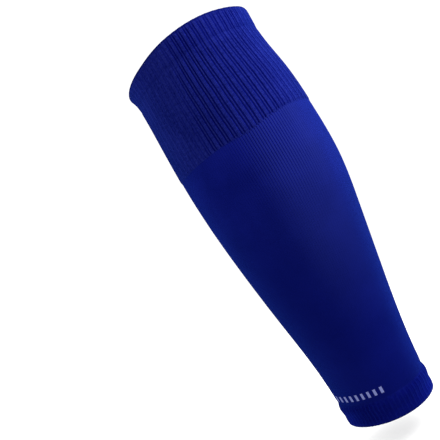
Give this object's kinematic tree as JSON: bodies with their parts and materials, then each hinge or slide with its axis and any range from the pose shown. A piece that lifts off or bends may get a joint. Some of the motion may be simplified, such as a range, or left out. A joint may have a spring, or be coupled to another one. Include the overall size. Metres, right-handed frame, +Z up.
{
  "type": "footless football sock",
  "caption": "Knitted footless sock tube in its worn form: turned welt, ribbed calf cuff, smooth tapering leg and a narrow ribbed ankle hem.",
  "frame": {"origin": "on the leg's centre line at the middle of the ribbed cuff, where the sock grips the calf", "axes": "+Z up the leg towards the knee, -X the shin side, +X the calf side"},
  "size_m": [0.1255, 0.1208, 0.323],
  "materials": {
    "ribbed_knit": "royal blue ribbed knit, matt with a soft sheen",
    "plain_knit": "royal blue fine plain knit, matt with a soft sheen"
  },
  "bodies": {
    "root": {"top_welt": "ribbed_knit", "ribbed_cuff": "ribbed_knit", "plain_leg": "plain_knit", "ankle_hem": "ribbed_knit"}
  },
  "joints": []
}
